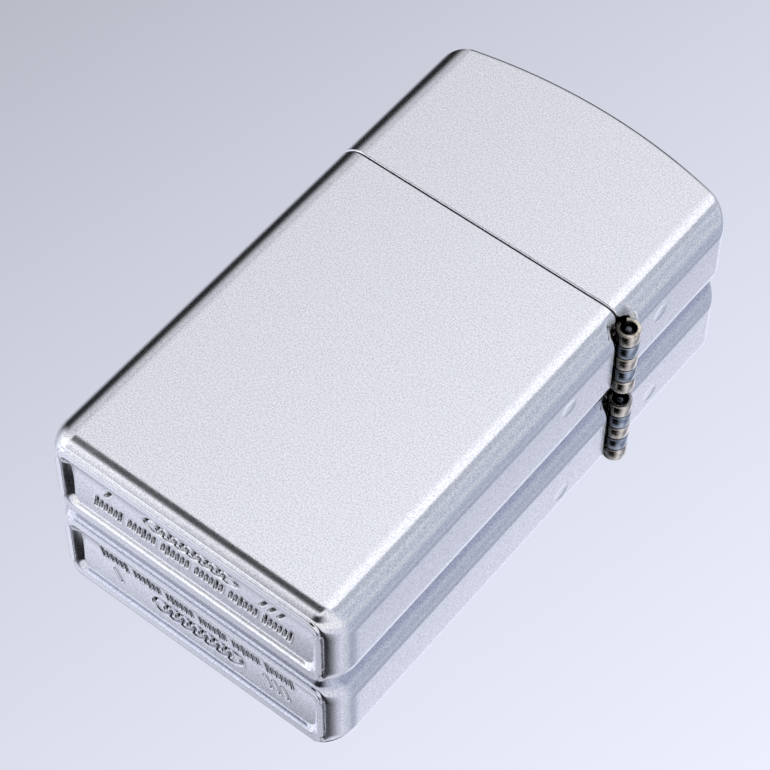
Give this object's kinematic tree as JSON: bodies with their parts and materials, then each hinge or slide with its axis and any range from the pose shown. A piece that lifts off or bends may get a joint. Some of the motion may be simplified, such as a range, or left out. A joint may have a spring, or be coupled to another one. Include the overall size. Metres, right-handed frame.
{
  "type": "lighter",
  "caption": "Slim flip-top windproof wick lighter with a crowned lid on a side hinge, and an insert with windscreen, flint wheel, cam, wick and packing inside.",
  "frame": {"origin": "centre of the back face of the closed lighter, halfway along its length", "axes": "+X towards the hinge side, +Y towards the lid's top, +Z from the back face to the front face"},
  "size_m": [0.0311, 0.0546, 0.01],
  "materials": {
    "case_metal": "satin chrome plate, finely blasted grain",
    "hinge_metal": "tarnished nickel plate",
    "insert_metal": "drawn stainless sheet",
    "wheel_metal": "hardened, dark, toothed",
    "brass_parts": "turned",
    "spring_metal": "bright spring steel",
    "flint_alloy": "dull grey rod",
    "wick_cotton": "braided cotton, scorched tip",
    "packing_cotton": "loose cotton wadding",
    "felt": "pressed wool felt"
  },
  "bodies": {
    "case": {"case_body": "case_metal", "hinge_leaf_case": "hinge_metal", "hinge_pin": "hinge_metal", "insert_shell": "insert_metal", "windscreen": "insert_metal", "wheel_rivet": "hinge_metal", "cam_rivet": "hinge_metal", "cam_spring": "spring_metal", "cam_spring_rivet": "hinge_metal", "flint_tube": "brass_parts", "flint_spring": "spring_metal", "wick": "wick_cotton", "cotton_wad_1": "packing_cotton", "cotton_wad_2": "packing_cotton", "cotton_wad_3": "packing_cotton", "cotton_wad_4": "packing_cotton", "cotton_wad_5": "packing_cotton", "felt_pad": "felt"},
    "lid": {"case_lid": "case_metal", "hinge_leaf_lid": "hinge_metal"},
    "wheel": {"flint_wheel": "wheel_metal"},
    "cam": {"cam_lever": "insert_metal"},
    "flint_stack": {"flint": "flint_alloy", "flint_plunger": "brass_parts"},
    "screw": {"flint_screw": "brass_parts"}
  },
  "joints": [
    {"name": "lid_hinge", "type": "hinge", "parent": "case", "child": "lid", "pos_m": [0.01505, 0.0105, 0.005], "axis": [0, 0, -1], "range_deg": [0, 125]},
    {"name": "cam_pivot", "type": "hinge", "parent": "case", "child": "cam", "pos_m": [0.0106, 0.0129, 0.005], "axis": [0, 0, -1], "range_deg": [0, 18.5], "deforming": ["cam_spring"]},
    {"name": "wheel_spin", "type": "hinge", "parent": "case", "child": "wheel", "pos_m": [-0.00945, 0.0179, 0.005], "axis": [0, 0, 1], "continuous": true},
    {"name": "flint_feed", "type": "slide", "parent": "case", "child": "flint_stack", "axis": [0, -1, 0], "range_m": [0, 0.002], "stiffness_N_per_m": 50, "springref_m": -0.02, "deforming": ["flint_spring"]},
    {"name": "flint_screw_turn", "type": "hinge", "parent": "case", "child": "screw", "pos_m": [-0.00945, -0.0245, 0.005], "axis": [0, 1, 0], "continuous": true}
  ],
  "couplings": [
    {"joint": "cam_pivot", "follows": "lid_hinge", "ratio": 0.144}
  ]
}
